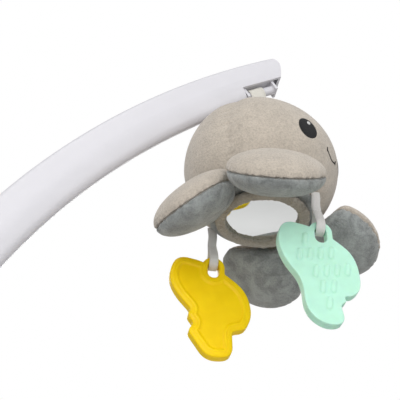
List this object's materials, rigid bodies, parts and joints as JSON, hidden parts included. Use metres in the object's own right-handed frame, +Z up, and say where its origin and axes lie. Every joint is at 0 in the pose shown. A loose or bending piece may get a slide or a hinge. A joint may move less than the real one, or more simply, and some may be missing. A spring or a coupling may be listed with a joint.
{
  "type": "bouncer seat toy bar",
  "caption": "Curved plastic toy bar for a baby bouncer seat, with a hanging plush dome toy that has stuffed lobes, a belly mirror and silicone teethers on ribbons.",
  "frame": {"origin": "on the plug's axis, where the arm's collar meets the seat", "axes": "+Z up along the plug, +X towards the arm's tip, +Y to the far side"},
  "size_m": [0.3543, 0.19, 0.3856],
  "materials": {
    "white_plastic": "fine moulded satin",
    "steel_screw": "zinc plated",
    "grey_tape": "woven tape",
    "beige_velour": "short pile velour",
    "grey_velour": "short pile velour",
    "fibre_fill": "polyester fill",
    "black_thread": "satin stitch embroidery",
    "white_thread": "satin stitch embroidery",
    "mirror_film": "silvered acrylic sheet",
    "backing_board": "plain board",
    "satin_ribbon": "satin weave",
    "mint_silicone": "matt silicone",
    "yellow_silicone": "matt silicone"
  },
  "bodies": {
    "arm": {"arm_shell_near": "white_plastic", "arm_shell_far": "white_plastic", "shell_screws": "steel_screw", "base_stem": "white_plastic", "strap_bar_insert": "white_plastic"},
    "strap": {"hanging_strap": "grey_tape"},
    "toy": {"dome_front_panel": "beige_velour", "dome_rear_panel_near": "beige_velour", "dome_rear_panel_far": "beige_velour", "dome_stuffing": "fibre_fill", "belly_panel": "grey_velour", "eye_near": "black_thread", "eye_far": "black_thread", "glint_near": "white_thread", "glint_far": "white_thread", "smile_stitch": "black_thread", "mirror_backing": "backing_board", "mirror_disc": "mirror_film", "mirror_ring": "beige_velour"},
    "lobe_near": {"lobe_near_top_panel": "beige_velour", "lobe_near_under_panel": "grey_velour", "lobe_near_stuffing": "fibre_fill"},
    "lobe_rear": {"lobe_rear_top_panel": "beige_velour", "lobe_rear_under_panel": "grey_velour", "lobe_rear_stuffing": "fibre_fill"},
    "lobe_far": {"lobe_far_top_panel": "beige_velour", "lobe_far_under_panel": "grey_velour", "lobe_far_stuffing": "fibre_fill"},
    "lobe_front": {"lobe_front_top_panel": "beige_velour", "lobe_front_under_panel": "grey_velour", "lobe_front_stuffing": "fibre_fill"},
    "ribbon_mint": {"ribbon_mint": "satin_ribbon", "ribbon_mint_stitch": "white_thread"},
    "teether_mint": {"teether_mint": "mint_silicone"},
    "ribbon_yellow": {"ribbon_yellow": "satin_ribbon", "ribbon_yellow_stitch": "white_thread"},
    "teether_yellow": {"teether_yellow": "yellow_silicone"}
  },
  "joints": [
    {"name": "toy_swing", "type": "hinge", "parent": "arm", "child": "strap", "pos_m": [0.23951, 0, 0.30133], "axis": [0.8755, 0, 0.4833], "range_deg": [-25, 25]},
    {"name": "toy_twist", "type": "hinge", "parent": "strap", "child": "toy", "pos_m": [0.23951, 0, 0.28633], "axis": [0, 0, 1], "range_deg": [-30, 30], "stiffness_Nm_per_rad": 0.003},
    {"name": "lobe_near_flap", "type": "hinge", "parent": "toy", "child": "lobe_near", "pos_m": [0.2347, -0.04575, 0.18033], "axis": [-0.9962, 0.0872, 0], "range_deg": [-12, 8], "stiffness_Nm_per_rad": 0.12},
    {"name": "lobe_rear_flap", "type": "hinge", "parent": "toy", "child": "lobe_rear", "pos_m": [0.20419, -0.01878, 0.17633], "axis": [-0.2756, 0.9613, 0], "range_deg": [-12, 8], "stiffness_Nm_per_rad": 0.12},
    {"name": "lobe_far_flap", "type": "hinge", "parent": "toy", "child": "lobe_far", "pos_m": [0.25109, 0.04037, 0.17533], "axis": [0.9744, -0.225, 0], "range_deg": [-12, 8], "stiffness_Nm_per_rad": 0.12},
    {"name": "lobe_front_flap", "type": "hinge", "parent": "toy", "child": "lobe_front", "pos_m": [0.27681, 0.0114, 0.17633], "axis": [0.1564, -0.9877, 0], "range_deg": [-12, 8], "stiffness_Nm_per_rad": 0.12},
    {"name": "ribbon_mint_swing", "type": "hinge", "parent": "toy", "child": "ribbon_mint", "pos_m": [0.27396, -0.03048, 0.16883], "axis": [1, 0, 0], "range_deg": [-12, 28]},
    {"name": "teether_mint_swing", "type": "hinge", "parent": "ribbon_mint", "child": "teether_mint", "pos_m": [0.27396, -0.03048, 0.14183], "axis": [1, 0, 0], "range_deg": [-15, 15]},
    {"name": "ribbon_yellow_swing", "type": "hinge", "parent": "toy", "child": "ribbon_yellow", "pos_m": [0.20533, 0.03078, 0.16883], "axis": [1, 0, 0], "range_deg": [-24, 12]},
    {"name": "teether_yellow_swing", "type": "hinge", "parent": "ribbon_yellow", "child": "teether_yellow", "pos_m": [0.20533, 0.03078, 0.14183], "axis": [1, 0, 0], "range_deg": [-15, 15]}
  ]
}
